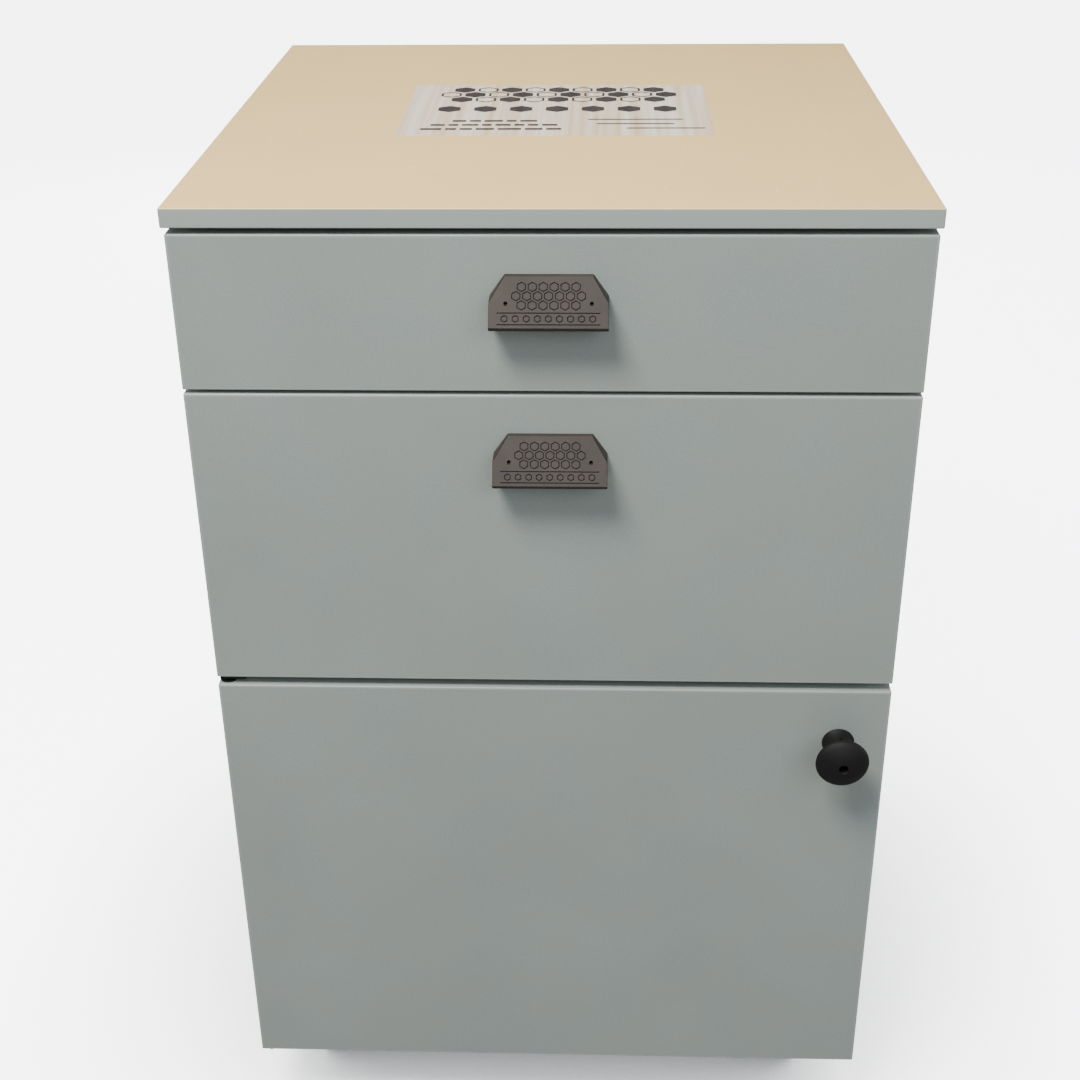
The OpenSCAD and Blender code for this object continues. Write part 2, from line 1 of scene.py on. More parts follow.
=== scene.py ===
# %% [markdown]
# # A rolling pedestal cabinet
#
# This is an office pedestal: two drawers over a small cupboard, made of board, on four casters.
# Its CAD model is a fixed frame, so every place and size below is read from it and no part is moved.
# Blender adds what the CAD leaves plain: rounded board edges, engraved pulls, a printed film, finishes.

# %% Load the frame
import math
import random

import bmesh
import bpy
from mathutils import Matrix, Vector


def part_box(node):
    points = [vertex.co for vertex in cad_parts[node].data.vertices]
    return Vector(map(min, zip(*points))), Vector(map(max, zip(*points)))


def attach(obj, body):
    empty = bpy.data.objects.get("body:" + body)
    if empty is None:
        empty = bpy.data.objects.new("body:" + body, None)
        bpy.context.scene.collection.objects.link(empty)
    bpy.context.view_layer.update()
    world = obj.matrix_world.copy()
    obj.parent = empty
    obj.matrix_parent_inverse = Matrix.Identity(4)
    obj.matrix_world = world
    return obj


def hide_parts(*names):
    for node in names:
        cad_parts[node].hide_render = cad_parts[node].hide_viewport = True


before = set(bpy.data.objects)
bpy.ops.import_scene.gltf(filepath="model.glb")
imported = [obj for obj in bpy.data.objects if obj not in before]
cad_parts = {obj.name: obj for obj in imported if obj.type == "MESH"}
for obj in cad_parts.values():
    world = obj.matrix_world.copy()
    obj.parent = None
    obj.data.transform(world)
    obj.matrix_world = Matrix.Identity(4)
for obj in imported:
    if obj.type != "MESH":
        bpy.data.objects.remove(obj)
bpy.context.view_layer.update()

MM = 0.001

# %% [markdown]
# ## Camera
#
# The viewpoint is that of a person who stands in front and looks down at the cabinet.
# A normal lens from about a metre away keeps both drawer fronts and the top in view, and makes the
# cabinet narrow towards its foot. A longer lens from further back would flatten that.

# %% Place the camera
camera_data = bpy.data.cameras.new("camera")
camera_data.sensor_width = 36
camera_data.lens = 54.78
camera_data.clip_start = 0.05
camera = bpy.data.objects.new("camera", camera_data)
bpy.context.scene.collection.objects.link(camera)
bpy.context.scene.camera = camera
camera.location = (0.0310, -1.1280, 0.9925)
camera.rotation_euler = [math.radians(angle) for angle in (61.987, 0.592, 2.069)]
print("camera height, m:", camera.location.z)

# %% [markdown]
# ## Light
#
# A studio has one large soft source that gives the shadows their direction, and a pale room that fills
# them in. Here the large source hangs high in front and to the left, so that each pull throws a soft
# shadow down and a little to the right. A smaller source could do it, but its shadows would be hard.
# Weak lamps at both sides and behind keep the other faces from going black. The one behind is left out
# of reflections, because the back of the top would mirror it as a pale sheet.

# %% Hang the lamps
LAMP_ASPECT = 0.7


def hang_lamp(name, place, aim, width, power, colour):
    lamp_data = bpy.data.lights.new(name, "AREA")
    lamp_data.shape = "RECTANGLE"
    lamp_data.size = width
    lamp_data.size_y = width * LAMP_ASPECT
    lamp_data.energy = power
    lamp_data.color = colour
    lamp = bpy.data.objects.new(name, lamp_data)
    bpy.context.scene.collection.objects.link(lamp)
    lamp.location = place
    lamp.rotation_euler = (Vector(aim) - Vector(place)).to_track_quat("-Z", "Y").to_euler()
    print(name, "hangs at", place)
    return lamp


hang_lamp("key_lamp", (-0.55, -1.15, 2.25), (0, -0.25, 0.65), 0.75, 70, (1.0, 0.985, 0.95))
hang_lamp("fill_lamp", (1.0, -2.2, 1.8), (0, 0, 0.6), 1.6, 24, (0.86, 0.93, 1.0))
back_lamp = hang_lamp("back_lamp", (-0.4, 2.6, 1.0), (0, 0, 0.35), 1.4, 30, (1.0, 0.98, 0.95))
back_lamp.visible_glossy = False
hang_lamp("left_lamp", (-2.5, 0.3, 1.0), (0, 0, 0.35), 1.4, 18, (1.0, 0.98, 0.95))
hang_lamp("right_lamp", (2.5, 0.3, 1.0), (0, 0, 0.35), 1.4, 18, (0.95, 0.97, 1.0))

# %% [markdown]
# ## Writing finishes as expressions
#
# A finish is a tree of shader nodes, and most of such a tree is plain arithmetic.
# Adding each Math node by hand hides the idea behind bookkeeping, so a small class wraps a node's
# output and lets Python's own operators add the nodes. Its node method adds any other kind of node:
# settings go in first, because some of them decide which sockets there are.

# %% A socket that can be used in sums
class Sock:
    def __init__(self, tree, socket=None):
        self.tree = tree
        self.socket = socket

    def node(self, kind, settings, sockets, out=0):
        made = self.tree.nodes.new("ShaderNode" + kind)
        for name, value in settings.items():
            setattr(made, name, value)
        for name, value in sockets.items():
            if isinstance(value, Sock):
                self.tree.links.new(value.socket, made.inputs[name])
            else:
                made.inputs[name].default_value = value
        return Sock(self.tree, made.outputs[out] if made.outputs else None)

    def maths(self, operation, first, second):
        return self.node("Math", {"operation": operation}, {0: first, 1: second})

    def __add__(self, other):
        return self.maths("ADD", self, other)

    def __sub__(self, other):
        return self.maths("SUBTRACT", self, other)

    def __rsub__(self, other):
        return self.maths("SUBTRACT", other, self)

    def __mul__(self, other):
        return self.maths("MULTIPLY", self, other)

    __radd__ = __add__
    __rmul__ = __mul__


print("sums on sockets can use + - and *, with plain numbers on either side")


# %% Starting and ending a finish
def paint(red, green, blue):
    # A colour as a paint chart gives it, from 0 to 255, in the linear values that shaders take
    return tuple(((part / 255 + 0.055) / 1.055) ** 2.4 for part in (red, green, blue)) + (1,)


def begin_finish(name):
    material = bpy.data.materials.new(name)
    material.use_nodes = True
    material.node_tree.nodes.clear()
    return material, Sock(material.node_tree).node("TexCoord", {}, {}, "Object")


def end_finish(material, place, sockets):
    shader = place.node("BsdfPrincipled", {}, sockets)
    place.node("OutputMaterial", {}, {"Surface": shader})
    print("finish", material.name, "with", len(material.node_tree.nodes), "nodes")
    return material


def noise(place, per_metre, detail=2, stretch=(1, 1, 1)):
    spread = place.node("Mapping", {}, {"Vector": place, "Scale": stretch})
    return place.node("TexNoise", {}, {"Vector": spread, "Scale": per_metre, "Detail": detail})


def between(factor, low, high):
    # 0 below the low value, 1 above the high one, and a straight ramp in between
    limits = {"Value": factor, "From Min": low, "From Max": high}
    return factor.node("MapRange", {"clamp": True}, limits)


def mix(factor, first, second):
    return factor.node("Mix", {"data_type": "RGBA"}, {0: factor, 6: first, 7: second}, 2)


def bump(height, strength, distance=0.2 * MM):
    return height.node("Bump", {}, {"Height": height, "Strength": strength, "Distance": distance})


print("a middling grey paint, linear:", [round(part, 3) for part in paint(128, 128, 128)[:3]])

# %% [markdown]
# ## Melamine board
#
# The boards are faced with melamine, a printed paper under a hard resin. It is nearly one colour, with
# a faint cloudiness a hand wide, patches a thumb wide that lean a little warmer, and a fine mottle of
# about a millimetre. The press plate leaves a pearl texture, so the shine breaks up softly.
# Three noises give the colour and a fourth the texture.
# An image could do it as well, but it would need unwrapping and would blur close up.

# %% The board finishes
def melamine(name, colour, cloud_depth, mottle_depth, roughness):
    material, place = begin_finish(name)
    cloud = noise(place, 9)
    mottle = noise(place, 700, 3)
    pearl = noise(place, 1500, 1)
    drift = between(noise(place, 26), 0.35, 0.65)
    shade = 0.5 + (cloud - 0.5) * cloud_depth + (mottle - 0.5) * mottle_depth
    dark = tuple(part * 0.8 for part in colour[:3]) + (1,)
    light = tuple(part * 1.2 for part in colour[:3]) + (1,)
    warm = tuple(part * share for part, share in zip(colour, (1.08, 1.01, 0.92))) + (1,)
    return end_finish(material, place, {
        "Base Color": mix(0.45 * drift, mix(shade, dark, light), warm),
        "Roughness": roughness + 0.10 * cloud + 0.06 * mottle,
        "Specular IOR Level": 0.4,
        "Normal": bump(pearl, 0.12),
    })


grey_melamine = melamine("grey_melamine", paint(135, 143, 140), cloud_depth=0.5, mottle_depth=0.8,
                         roughness=0.36)
grey_edging = melamine("grey_edging", paint(145, 153, 150), cloud_depth=0.3, mottle_depth=0.2,
                       roughness=0.28)
white_melamine = melamine("white_melamine", paint(226, 226, 221), cloud_depth=0.3, mottle_depth=0.2,
                          roughness=0.34)

# %% [markdown]
# ## The top's painted warm light
#
# The top's upper face is painted warmer than the rest: a beige that is painted warm light, standing for
# the warm light it catches from above. It is satin enough to mirror the room in soft streaks.
# Dust leaves a few pale specks on it. The streaks come from a roughness that varies far more across
# the board than along it, the way a wiping cloth leaves it, and the specks from the peaks of a noise.

# %% The top finish
def painted_warm_light():
    material, place = begin_finish("painted_warm_light")
    cloud = noise(place, 7)
    mottle = noise(place, 800, 3)
    wiped = noise(place, 60, 3, (1, 0.06, 1))
    specks = between(noise(place, 260, 0), 0.80, 0.84)
    shade = 0.5 + (cloud - 0.5) * 0.3 + (mottle - 0.5) * 0.35
    # The beige is painted warm light: a colour that stands for warm light falling on the upper face
    facing = mix(shade, paint(234, 194, 124), paint(254, 220, 153))
    return end_finish(material, place, {
        "Base Color": mix(specks * 0.7, facing, paint(245, 242, 234)),
        "Roughness": 0.26 + 0.14 * wiped + 0.08 * mottle,
        "Specular IOR Level": 0.35,
        "Normal": bump(mottle, 0.04),
    })


top_painted_warm_light = painted_warm_light()

# %% [markdown]
# ## Printed plastic
#
# The pulls and the knob are 3-D prints. A printer lays the plastic down in layers a fraction of a
# millimetre high, which shows as very fine ridges and as bands that shine a little differently.
# The layers are a noise squeezed flat along the direction the print grew in. A regular wave is simpler,
# but real layers are never all alike.

# %% The printed finishes
def printed(name, dark, light, stretch, roughness, shine):
    material, place = begin_finish(name)
    layers = noise(place, 40, 2, stretch)
    scuff = noise(place, 300, 3)
    cloud = noise(place, 60)
    shade = 0.35 * layers + 0.35 * scuff + 0.3 * cloud
    return end_finish(material, place, {
        "Base Color": mix(between(shade, 0.3, 0.7), dark, light),
        "Roughness": roughness + 0.15 * scuff + 0.08 * layers,
        "Specular IOR Level": shine,
        "Normal": bump(layers + 0.5 * scuff, 0.25),
    })


PULL_LAYERS = (1, 1, 90)
KNOB_LAYERS = (1, 90, 1)
pull_plastic = printed("pull_plastic", paint(38, 33, 28), paint(60, 52, 45), PULL_LAYERS, 0.55, 0.4)
# The grooves' finish is the same plastic painted far darker: painted shade in the engraved grooves
groove_painted_shade = printed("groove_painted_shade", paint(12, 10, 12), paint(20, 17, 18), PULL_LAYERS,
                         0.6, 0.3)
knob_plastic = printed("knob_plastic", paint(5, 4, 5), paint(14, 12, 12), KNOB_LAYERS, 0.52, 0.28)

# %% [markdown]
# ## Metal and moulded plastic
#
# Runners, screws and brackets are zinc-plated steel: bright, slightly blue, with soft blotches where
# the plating took differently and fine lines from rolling. The door's pivots are blackened, so that
# they don't show in the gap above the door, and their bushes are black nylon. The casters are moulded
# black plastic with a faint orange-peel, their tyres a softer grey rubber.

# %% The metal finish and the moulded finishes
def metal(name, dark, light, roughness):
    material, place = begin_finish(name)
    blotch = noise(place, 45, 3)
    rolled = noise(place, 500, 2, (1, 0.04, 1))
    return end_finish(material, place, {
        "Base Color": mix(blotch, dark, light),
        "Metallic": 1.0,
        "Roughness": roughness + 0.2 * blotch + 0.08 * rolled,
        "Normal": bump(rolled, 0.08),
    })


def moulded(name, dark, light, roughness, peel):
    material, place = begin_finish(name)
    grain = noise(place, 900, 2)
    cloud = noise(place, 50)
    return end_finish(material, place, {
        "Base Color": mix(cloud, dark, light),
        "Roughness": roughness + 0.12 * grain + 0.08 * cloud,
        "Normal": bump(grain, peel, 0.3 * MM),
    })


zinc_plating = metal("zinc_plating", paint(176, 180, 184), paint(214, 216, 216), 0.24)
black_oxide = metal("black_oxide", paint(34, 35, 38), paint(58, 59, 62), 0.38)
black_nylon = moulded("black_nylon", paint(24, 24, 25), paint(36, 36, 37), 0.38, 0.05)
caster_black = moulded("caster_black", paint(22, 22, 24), paint(36, 36, 38), 0.40, 0.12)
tyre_grey = moulded("tyre_grey", paint(70, 71, 73), paint(90, 91, 93), 0.55, 0.2)

# %% [markdown]
# ## The room and the floor
#
# The cabinet stands on a plain pale floor in a white room. A floor as white as that would throw its
# light up under the pulls and the knob, where a real room is dim. So both floor and room are bright
# where they are seen directly, and give the object much less light than that, by asking the light
# path what kind of ray it is. What the object mirrors is dimmer than what lights it, as in a room with
# dark furniture, so that the top keeps its colour at a low angle.
# The floor's glow fades where the cabinet closes it in, which an Ambient Occlusion node measures, and
# that gives the casters a soft shadow to stand in.

# %% Paint the room and lay the floor
ROOM_LIGHT = 0.54
SEEN_EXTRA = 6.2
MIRRORED_LOSS = 0.26
FLOOR_GLOW = 5.6
SHADE_REACH = 0.3
FLOOR_HALF = 30

world = bpy.data.worlds.new("pale_room")
bpy.context.scene.world = world
world.use_nodes = True
world.node_tree.nodes.clear()
seen = Sock(world.node_tree).node("LightPath", {}, {}, "Is Camera Ray")
mirrored = seen.node("LightPath", {}, {}, "Is Glossy Ray")
room_light = ROOM_LIGHT + SEEN_EXTRA * seen - MIRRORED_LOSS * mirrored
room = seen.node("Background", {}, {"Color": (0.95, 0.97, 1.0, 1), "Strength": room_light})
seen.node("OutputWorld", {}, {"Surface": room})


def floor_finish():
    material, place = begin_finish("floor_paint")
    straight = place.node("LightPath", {}, {}, "Is Camera Ray")
    cloud = noise(place, 1.5)
    pale = mix(cloud, (0.86, 0.86, 0.87, 1), (0.9, 0.9, 0.9, 1))
    matt = place.node("BsdfDiffuse", {}, {"Color": pale})
    open_sky = place.node("AmbientOcclusion", {"samples": 8}, {"Distance": SHADE_REACH}, "AO")
    strength = FLOOR_GLOW * open_sky * open_sky
    glow = place.node("Emission", {}, {"Color": (0.97, 0.98, 1.0, 1), "Strength": strength})
    lit = place.node("AddShader", {}, {0: matt, 1: glow})
    dim = place.node("BsdfDiffuse", {}, {"Color": (0.24, 0.24, 0.24, 1)})
    surface = place.node("MixShader", {}, {0: straight, 1: dim, 2: lit})
    place.node("OutputMaterial", {}, {"Surface": surface})
    return material


floor_paint = floor_finish()
floor_bm = bmesh.new()
bmesh.ops.create_grid(floor_bm, x_segments=1, y_segments=1, size=FLOOR_HALF)
floor_mesh = bpy.data.meshes.new("floor")
floor_bm.to_mesh(floor_mesh)
floor_bm.free()
floor_mesh.materials.append(floor_paint)
floor = bpy.data.objects.new("floor", floor_mesh)
bpy.context.scene.collection.objects.link(floor)
print("floor, m across:", 2 * FLOOR_HALF)

# %% [markdown]
# ## From a bmesh to a finished piece
#
# Every new piece ends in the same way: its mesh is smoothed up to a crease angle, it gets its finish,
# it is tied to the body it moves with, and the CAD parts it stands for are hidden. A Weighted Normal
# modifier keeps large flat faces flat beside their rounded edges, at no cost in faces.

# %% Finishing a piece and cutting one body with another
def finished(bm, name, finishes, body, replaces=(), crease=35):
    mesh = bpy.data.meshes.new(name)
    open_edges = sum(not edge.is_manifold for edge in bm.edges)
    bm.to_mesh(mesh)
    bm.free()
    for finish in finishes:
        mesh.materials.append(finish)
    mesh.shade_smooth()
    mesh.set_sharp_from_angle(angle=math.radians(crease))
    piece = bpy.data.objects.new(name, mesh)
    bpy.context.scene.collection.objects.link(piece)
    piece.modifiers.new("flat_faces", "WEIGHTED_NORMAL").keep_sharp = True
    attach(piece, body)
    if replaces:
        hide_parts(*replaces)
    print(f"{name}: {len(mesh.polygons)} faces, {open_edges} open edges")


def cut(bm, tool):
    # One closed body cut by another one. Both are used up.
    stand_ins = []
    for part in (bm, tool):
        mesh = bpy.data.meshes.new("stand_in")
        part.to_mesh(mesh)
        part.free()
        stand_ins.append(bpy.data.objects.new("stand_in", mesh))
        bpy.context.scene.collection.objects.link(stand_ins[-1])
    boolean = stand_ins[0].modifiers.new("boolean", "BOOLEAN")
    boolean.operation = "DIFFERENCE"
    boolean.solver = "EXACT"
    boolean.object = stand_ins[1]
    result = bmesh.new()
    result.from_object(stand_ins[0], bpy.context.evaluated_depsgraph_get())
    for stand_in in stand_ins:
        bpy.data.meshes.remove(stand_in.data)
    return result


def node_copy(name):
    # A CAD part's own triangles, joined up into a closed body
    bm = bmesh.new()
    bm.from_mesh(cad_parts[name].data)
    bmesh.ops.remove_doubles(bm, verts=bm.verts, dist=0.001 * MM)
    return bm


print(len(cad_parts), "CAD parts to finish or to keep")

# %% [markdown]
# ## Boards
#
# A board is sawn to size and its edges are banded and slightly rounded, so a sharp box would look
# wrong: the thin bright line that light draws along an edge comes from the rounding. A board starts as
# a cube, is scaled to the CAD part's own box and has all its edges bevelled. Holes are then cut with
# the fittings that sit in them, so that they fit exactly.

# %% A board with rounded, banded edges
BOARD_ROUNDING = 0.8
BACK_ROUNDING = 0.6
BOARD_BAND = 1.2
ROUNDING_STEPS = 3
CUTTER_SCALE = 0.99998


def board(low, high, rounding, band=0):
    bm = bmesh.new()
    bmesh.ops.create_cube(bm, size=1)
    bmesh.ops.scale(bm, vec=high - low, verts=bm.verts)
    bmesh.ops.translate(bm, vec=(low + high) / 2, verts=bm.verts)
    facing = max(bm.faces, key=lambda face: face.calc_area()).normal.copy()
    bmesh.ops.bevel(bm, geom=bm.edges[:], offset=rounding * MM, affect="EDGES",
                    segments=ROUNDING_STEPS, profile=0.5, material=-1)
    if band:
        # The band's joint runs round both wide faces, a band's thickness in from the edge
        wide = [face for face in bm.faces if abs(face.normal.dot(facing)) > 0.999]
        bmesh.ops.inset_individual(bm, faces=wide, thickness=(band - rounding) * MM)
        for face in bm.faces:
            face.material_index = 0 if face in wide else 1
    return bm


def board_for(node, rounding, cutters=(), band=0):
    # A cutter a hair too small has no face that lies exactly in a face of the board
    bm = board(*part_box(node), rounding, band)
    for cutter in cutters:
        fitting = node_copy(cutter)
        bmesh.ops.scale(fitting, vec=[CUTTER_SCALE] * 3, verts=fitting.verts)
        bm = cut(bm, fitting)
    return bm


grey_finishes = [grey_melamine, grey_edging]
fittings = ("cam_discs", "cam_bolts", "carcass_screws", "shelf_pins")
for side in ("left", "right"):
    side_bm = board_for(f"{side}_side_panel", BOARD_ROUNDING, fittings, BOARD_BAND)
    finished(side_bm, f"{side}_side_board", grey_finishes, "cabinet",
             [f"{side}_side_panel"])
finished(board_for("back_panel", BACK_ROUNDING), "back_board", [grey_melamine], "cabinet",
         ["back_panel"])
finished(board_for("shelf", BOARD_ROUNDING, (), BOARD_BAND), "shelf_board", grey_finishes, "cabinet",
         ["shelf"])

# %% [markdown]
# ## The top
#
# The top is one board with grey banding round its edges and a warm beige of painted warm light on its
# upper face. The bolts of the carcass reach up into it. Its upper face gets that painted light by the
# direction the face looks in.

# %% Make the top
TOP_ROUNDING = 0.9
LOOKS_UP = 0.7
top_bm = board_for("top_panel", TOP_ROUNDING, ("cam_bolts",))
# Faces that look up take the painted warm light, the others the grey edging
for face in top_bm.faces:
    face.material_index = 1 if face.normal.z > LOOKS_UP else 0
finished(top_bm, "top_board", [grey_edging, top_painted_warm_light], "cabinet", ["top_panel"])

# %% [markdown]
# ## Drawer fronts and door
#
# The three fronts are banded boards too. A drawer front has a groove for the drawer's bottom and two
# screw holes, which are cut with those parts. The door is drilled for its two pivot bushes and for the
# latch's sleeve. Bushes and sleeve are hollow, so plain rods of their outer size cut the bores instead.

# %% Make the fronts
FRONT_ROUNDING = 1.0
FRONT_BAND = 2.0
BUSH_BORE = 8.1
BUSH_BORE_DEPTH = 12
SLEEVE_BORE = 12.1
OVERSHOOT = 2
drawers = ("upper", "lower")

for drawer in drawers:
    cutters = (f"{drawer}_drawer_bottom", f"{drawer}_pull_screws")
    front_bm = board_for(f"{drawer}_drawer_front", FRONT_ROUNDING, cutters, FRONT_BAND)
    finished(front_bm, f"{drawer}_front_board", grey_finishes, f"{drawer}_drawer",
             [f"{drawer}_drawer_front"])


def rod(diameter, low, high, axis, segments=48, far_diameter=None):
    # A rod between two points along an axis; with a second diameter it widens towards the far end
    bm = bmesh.new()
    length = (high - low).length
    bmesh.ops.create_cone(bm, cap_ends=True, segments=segments, radius1=diameter / 2,
                          radius2=(far_diameter or diameter) / 2, depth=length)
    turn = Vector((0, 0, 1)).rotation_difference(Vector(axis)).to_matrix().to_4x4()
    bmesh.ops.transform(bm, matrix=Matrix.Translation((low + high) / 2) @ turn, verts=bm.verts)
    return bm


door_bm = board_for("door_panel", FRONT_ROUNDING, (), FRONT_BAND)
door_low, door_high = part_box("door_panel")
bush_low, bush_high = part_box("pivot_bushes")
sleeve_low, sleeve_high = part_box("latch_sleeve")
pivot = (bush_low + bush_high) / 2
latch = (sleeve_low + sleeve_high) / 2
bore_length = Vector((0, 0, (BUSH_BORE_DEPTH + OVERSHOOT) * MM))
for foot in (door_low.z - OVERSHOOT * MM, door_high.z - BUSH_BORE_DEPTH * MM):
    bore_foot = Vector((pivot.x, pivot.y, foot))
    door_bm = cut(door_bm, rod(BUSH_BORE * MM, bore_foot, bore_foot + bore_length, (0, 0, 1)))
bore_ends = (door_low.y - OVERSHOOT * MM, door_high.y + OVERSHOOT * MM)
sleeve_bore = [Vector((latch.x, y, latch.z)) for y in bore_ends]
door_bm = cut(door_bm, rod(SLEEVE_BORE * MM, *sleeve_bore, (0, 1, 0)))
finished(door_bm, "door_board", grey_finishes, "door", ["door_panel"])

# %% [markdown]
# ## Drawer boxes
#
# Behind each front is a box of white board: two sides, a back and a thin bottom that slides into
# grooves. The two sides are one part in the CAD, so their box is split into a left and a right board.

# %% Make the drawer boxes
BOTTOM_ROUNDING = 0.3
for drawer in drawers:
    body = f"{drawer}_drawer"
    low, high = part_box(f"{drawer}_drawer_sides")
    inner_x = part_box(f"{drawer}_drawer_back")[1].x
    sides = board(Vector((inner_x, low.y, low.z)), high, BOARD_ROUNDING)
    bmesh.ops.mirror(sides, geom=sides.verts[:] + sides.edges[:] + sides.faces[:], axis="X",
                     merge_dist=-1)
    bmesh.ops.recalc_face_normals(sides, faces=sides.faces)
    sides = cut(sides, node_copy(f"{drawer}_drawer_bottom"))
    finished(sides, f"{drawer}_box_sides", [white_melamine], body,
             [f"{drawer}_drawer_sides"])
    for part, rounding in (("back", BOARD_ROUNDING), ("bottom", BOTTOM_ROUNDING)):
        node = f"{drawer}_drawer_{part}"
        finished(board_for(node, rounding), f"{drawer}_box_{part}", [white_melamine], body,
                 [node])

# %% [markdown]
# ## Stamps for ornaments
#
# The same small shapes serve twice: engraved in the pulls and printed on the film. They are drawn flat
# as hexagons, rings and bars, and pushed out into solid tools afterwards.
# A honeycomb is a neutral ornament that needs no drawing skill and repeats well.

# %% Flat hexagons, rings and bars
COMB_GAP = 1.6
ROW_STEP = 0.866


def stamp_hexagon(bm, x, y, radius, line=0):
    # A hexagon that stands on a corner; with a line width it becomes a ring
    made = bmesh.ops.create_circle(bm, cap_ends=True, segments=6, radius=radius)["verts"]
    bmesh.ops.translate(bm, vec=(x, y, 0), verts=made)
    if line:
        middle = made[0].link_faces[0]
        bmesh.ops.inset_individual(bm, faces=[middle], thickness=line, use_even_offset=True)
        bmesh.ops.delete(bm, geom=[middle], context="FACES_ONLY")


def stamp_bar(bm, x, y, width, height):
    made = bmesh.ops.create_grid(bm, x_segments=1, y_segments=1, size=0.5)["verts"]
    bmesh.ops.scale(bm, vec=(width, height, 1), verts=made)
    bmesh.ops.translate(bm, vec=(x, y, 0), verts=made)


def stamp_row(bm, y, count, pitch, radius, line=0):
    for index in range(count):
        stamp_hexagon(bm, (index - (count - 1) / 2) * pitch, y, radius, line)


def stamp_comb(bm, y, radius, line, rows, solid):
    # Rows of rings, of which every other one may be solid; neighbouring rows differ by one hexagon
    pitch = radius * math.sqrt(3) + line * COMB_GAP
    for level, count in enumerate(rows):
        for index in range(count):
            across = (index - (count - 1) / 2) * pitch
            filled = solid and (index + level) % 2 == 0
            stamp_hexagon(bm, across, y - level * pitch * ROW_STEP, radius, 0 if filled else line)


def pushed_out(bm, step):
    # Every flat face becomes a closed body as deep as the step
    grown = bmesh.ops.extrude_face_region(bm, geom=bm.faces[:])["geom"]
    moved = [part for part in grown if isinstance(part, bmesh.types.BMVert)]
    bmesh.ops.translate(bm, vec=step, verts=moved)
    bmesh.ops.recalc_face_normals(bm, faces=bm.faces)
    return bm


print("stamps: hexagon, ring, bar, row and honeycomb")

# %% [markdown]
# ## The pulls
#
# A pull is a small hood with a sloping face, open underneath for the fingers. Its outline is a few
# points that are pushed out from the drawer front; two plane cuts then give the slope and the lip, and
# a bevel softens what a nozzle can't print sharp. The hollow is made in the same way, 2.5 mm smaller,
# and cut out. Two bosses stay in it for the screws.

# %% The pull's measures and its plane cuts
PULL_DEPTH = 21.5
PULL_TOP_DEPTH = 4
PULL_LIP = 25.5
PULL_HEIGHT = 28
PULL_HALF = 35
PULL_TOP_HALF = 26
PULL_SHOULDER = 13
PULL_WALL = 2.5
PULL_ROOF = 3.5
LIP_WALL = 3
PULL_ROUNDING = 0.6
SCREW_X = 25
SCREW_DROP = 13.5
BOSS = 7
PILOT_HOLE, PILOT_DEPTH = 3.1, 8.3
FACE_HOLE = 2.4
slope_start = Vector((0, -PULL_TOP_DEPTH, 0))
slope_down = Vector((0, PULL_TOP_DEPTH - PULL_DEPTH, -PULL_LIP)).normalized()
slope_out = Vector((0, slope_down.z, -slope_down.y))
lip_out = (0, -2.5, -1.5)
print("the face leans out, degrees:", round(math.degrees(math.atan(slope_down.y / slope_down.z)), 1))


def trim(bm, point, outward):
    # Cuts off what lies outside a plane and closes the cut
    bmesh.ops.bisect_plane(bm, geom=bm.verts[:] + bm.edges[:] + bm.faces[:], plane_co=point,
                           plane_no=outward, clear_outer=True)
    bmesh.ops.holes_fill(bm, edges=[edge for edge in bm.edges if edge.is_boundary])


def pull_outline(inset, start, foot):
    half = PULL_HALF - inset
    top_half = PULL_TOP_HALF - inset
    left = [(-half, foot), (-half, -PULL_SHOULDER), (-top_half, inset)]
    corners = left + [(-x, z) for x, z in reversed(left)]
    bm = bmesh.new()
    bm.faces.new([bm.verts.new((x, -start, z)) for x, z in corners])
    return pushed_out(bm, (0, start - PULL_DEPTH, 0))


def pull_shell():
    outer = pull_outline(0, 0, -PULL_HEIGHT)
    trim(outer, slope_start, slope_out)
    trim(outer, (0, -PULL_DEPTH, -PULL_LIP), lip_out)
    # The edges that lie on the drawer front stay sharp
    soft = [edge for edge in outer.edges if not all(abs(vert.co.y) < 0.01 for vert in edge.verts)]
    bmesh.ops.bevel(outer, geom=soft, offset=PULL_ROUNDING, affect="EDGES",
                    segments=ROUNDING_STEPS, profile=0.5, material=-1)
    hollow = pull_outline(PULL_WALL, PULL_WALL, -PULL_HEIGHT - 3)
    trim(hollow, (0, 0, -PULL_ROOF), (0, 0, 1))
    trim(hollow, slope_start - slope_out * PULL_WALL, slope_out)
    trim(hollow, (0, LIP_WALL - PULL_DEPTH, 0), (0, -1, 0))
    for x in (-SCREW_X, SCREW_X):
        boss_ends = [Vector((x, y, -SCREW_DROP)) for y in (-PULL_DEPTH, 0)]
        hollow = cut(hollow, rod(BOSS, *boss_ends, (0, 1, 0), 32))
    shell = cut(outer, hollow)
    for x in (-SCREW_X, SCREW_X):
        for diameter, depth in ((PILOT_HOLE, PILOT_DEPTH), (FACE_HOLE, PULL_DEPTH)):
            bore = [Vector((x, y, -SCREW_DROP)) for y in (-depth, 0.5)]
            shell = cut(shell, rod(diameter, *bore, (0, 1, 0), 24))
    return shell


# %% [markdown]
# ## The engraving
#
# The face carries an engraved ornament: a band of honeycomb, and along the lip a border of small
# hexagons between two lines. The tool is drawn flat, made twice as deep as the grooves and laid on the
# slope so that half of it bites in. Bump alone would do from afar, but the grooves should catch light
# from every side. Their walls and floors are also painted far darker, as painted shade in the grooves.

# %% Engrave the face and place both pulls
ENGRAVING = 0.7
GROOVE = 0.6
GROOVE_MARGIN = 0.05
GROOVES_START, GROOVES_END, GROOVES_HALF = 1.2, 29.4, 33
BORDER_LINES = (-21.9, -28.8)
BORDER_MIDDLE = -25.35


